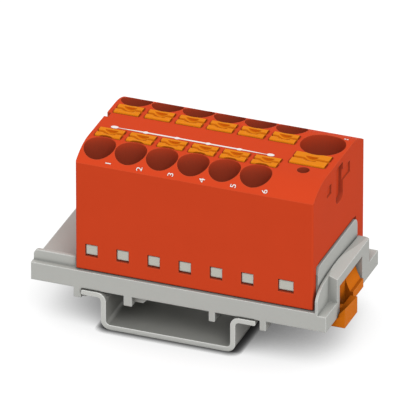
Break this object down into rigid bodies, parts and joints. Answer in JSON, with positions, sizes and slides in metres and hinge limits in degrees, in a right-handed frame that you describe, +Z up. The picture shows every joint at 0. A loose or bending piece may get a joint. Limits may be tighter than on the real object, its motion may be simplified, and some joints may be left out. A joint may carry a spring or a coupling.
{
  "type": "power distribution block",
  "caption": "Push-in power distribution block in red plastic on a grey rail adapter with an orange release latch, snapped on a short piece of mounting rail.",
  "frame": {"origin": "middle of the rail section's underside", "axes": "+X across the rail, along the block's length, towards the release latch; +Y along the rail; +Z up, away from the rail"},
  "size_m": [0.0607, 0.0292, 0.0367],
  "materials": {
    "rail_steel": "satin",
    "grey_plastic": "fine matte",
    "latch_plastic": "fine matte",
    "red_plastic": "fine matte",
    "button_plastic": "satin",
    "tinned_copper": "satin",
    "spring_steel": "satin"
  },
  "bodies": {
    "rail": {"rail_section": "rail_steel"},
    "block": {"rail_adapter": "grey_plastic", "housing": "red_plastic", "busbar": "tinned_copper", "outlet_spring_1": "spring_steel", "outlet_spring_2": "spring_steel", "outlet_spring_3": "spring_steel", "outlet_spring_4": "spring_steel", "outlet_spring_5": "spring_steel", "outlet_spring_6": "spring_steel", "outlet_spring_7": "spring_steel", "outlet_spring_8": "spring_steel", "outlet_spring_9": "spring_steel", "outlet_spring_10": "spring_steel", "outlet_spring_11": "spring_steel", "outlet_spring_12": "spring_steel", "infeed_spring": "spring_steel"},
    "latch": {"release_latch": "latch_plastic"},
    "outlet_push_1": {"outlet_button_1": "button_plastic"},
    "outlet_push_2": {"outlet_button_2": "button_plastic"},
    "outlet_push_3": {"outlet_button_3": "button_plastic"},
    "outlet_push_4": {"outlet_button_4": "button_plastic"},
    "outlet_push_5": {"outlet_button_5": "button_plastic"},
    "outlet_push_6": {"outlet_button_6": "button_plastic"},
    "outlet_push_7": {"outlet_button_7": "button_plastic"},
    "outlet_push_8": {"outlet_button_8": "button_plastic"},
    "outlet_push_9": {"outlet_button_9": "button_plastic"},
    "outlet_push_10": {"outlet_button_10": "button_plastic"},
    "outlet_push_11": {"outlet_button_11": "button_plastic"},
    "outlet_push_12": {"outlet_button_12": "button_plastic"},
    "infeed_push": {"infeed_button": "button_plastic"}
  },
  "joints": [
    {"name": "block_slide", "type": "slide", "parent": "rail", "child": "block", "axis": [0, 1, 0], "range_m": [-0.01, 0.01]},
    {"name": "latch_slide", "type": "slide", "parent": "block", "child": "latch", "axis": [1, 0, 0], "range_m": [0, 0.002], "stiffness_N_per_m": 1500, "springref_m": -0.0006},
    {"name": "outlet_press_1", "type": "slide", "parent": "block", "child": "outlet_push_1", "axis": [0, 0, -1], "range_m": [0, 0.0012], "stiffness_N_per_m": 3000, "springref_m": -0.0004, "deforming": ["outlet_spring_1"]},
    {"name": "outlet_press_2", "type": "slide", "parent": "block", "child": "outlet_push_2", "axis": [0, 0, -1], "range_m": [0, 0.0012], "stiffness_N_per_m": 3000, "springref_m": -0.0004, "deforming": ["outlet_spring_2"]},
    {"name": "outlet_press_3", "type": "slide", "parent": "block", "child": "outlet_push_3", "axis": [0, 0, -1], "range_m": [0, 0.0012], "stiffness_N_per_m": 3000, "springref_m": -0.0004, "deforming": ["outlet_spring_3"]},
    {"name": "outlet_press_4", "type": "slide", "parent": "block", "child": "outlet_push_4", "axis": [0, 0, -1], "range_m": [0, 0.0012], "stiffness_N_per_m": 3000, "springref_m": -0.0004, "deforming": ["outlet_spring_4"]},
    {"name": "outlet_press_5", "type": "slide", "parent": "block", "child": "outlet_push_5", "axis": [0, 0, -1], "range_m": [0, 0.0012], "stiffness_N_per_m": 3000, "springref_m": -0.0004, "deforming": ["outlet_spring_5"]},
    {"name": "outlet_press_6", "type": "slide", "parent": "block", "child": "outlet_push_6", "axis": [0, 0, -1], "range_m": [0, 0.0012], "stiffness_N_per_m": 3000, "springref_m": -0.0004, "deforming": ["outlet_spring_6"]},
    {"name": "outlet_press_7", "type": "slide", "parent": "block", "child": "outlet_push_7", "axis": [0, 0, -1], "range_m": [0, 0.0012], "stiffness_N_per_m": 3000, "springref_m": -0.0004, "deforming": ["outlet_spring_7"]},
    {"name": "outlet_press_8", "type": "slide", "parent": "block", "child": "outlet_push_8", "axis": [0, 0, -1], "range_m": [0, 0.0012], "stiffness_N_per_m": 3000, "springref_m": -0.0004, "deforming": ["outlet_spring_8"]},
    {"name": "outlet_press_9", "type": "slide", "parent": "block", "child": "outlet_push_9", "axis": [0, 0, -1], "range_m": [0, 0.0012], "stiffness_N_per_m": 3000, "springref_m": -0.0004, "deforming": ["outlet_spring_9"]},
    {"name": "outlet_press_10", "type": "slide", "parent": "block", "child": "outlet_push_10", "axis": [0, 0, -1], "range_m": [0, 0.0012], "stiffness_N_per_m": 3000, "springref_m": -0.0004, "deforming": ["outlet_spring_10"]},
    {"name": "outlet_press_11", "type": "slide", "parent": "block", "child": "outlet_push_11", "axis": [0, 0, -1], "range_m": [0, 0.0012], "stiffness_N_per_m": 3000, "springref_m": -0.0004, "deforming": ["outlet_spring_11"]},
    {"name": "outlet_press_12", "type": "slide", "parent": "block", "child": "outlet_push_12", "axis": [0, 0, -1], "range_m": [0, 0.0012], "stiffness_N_per_m": 3000, "springref_m": -0.0004, "deforming": ["outlet_spring_12"]},
    {"name": "infeed_press", "type": "slide", "parent": "block", "child": "infeed_push", "axis": [0, 0, -1], "range_m": [0, 0.0012], "stiffness_N_per_m": 5000, "springref_m": -0.0004, "deforming": ["infeed_spring"]}
  ]
}
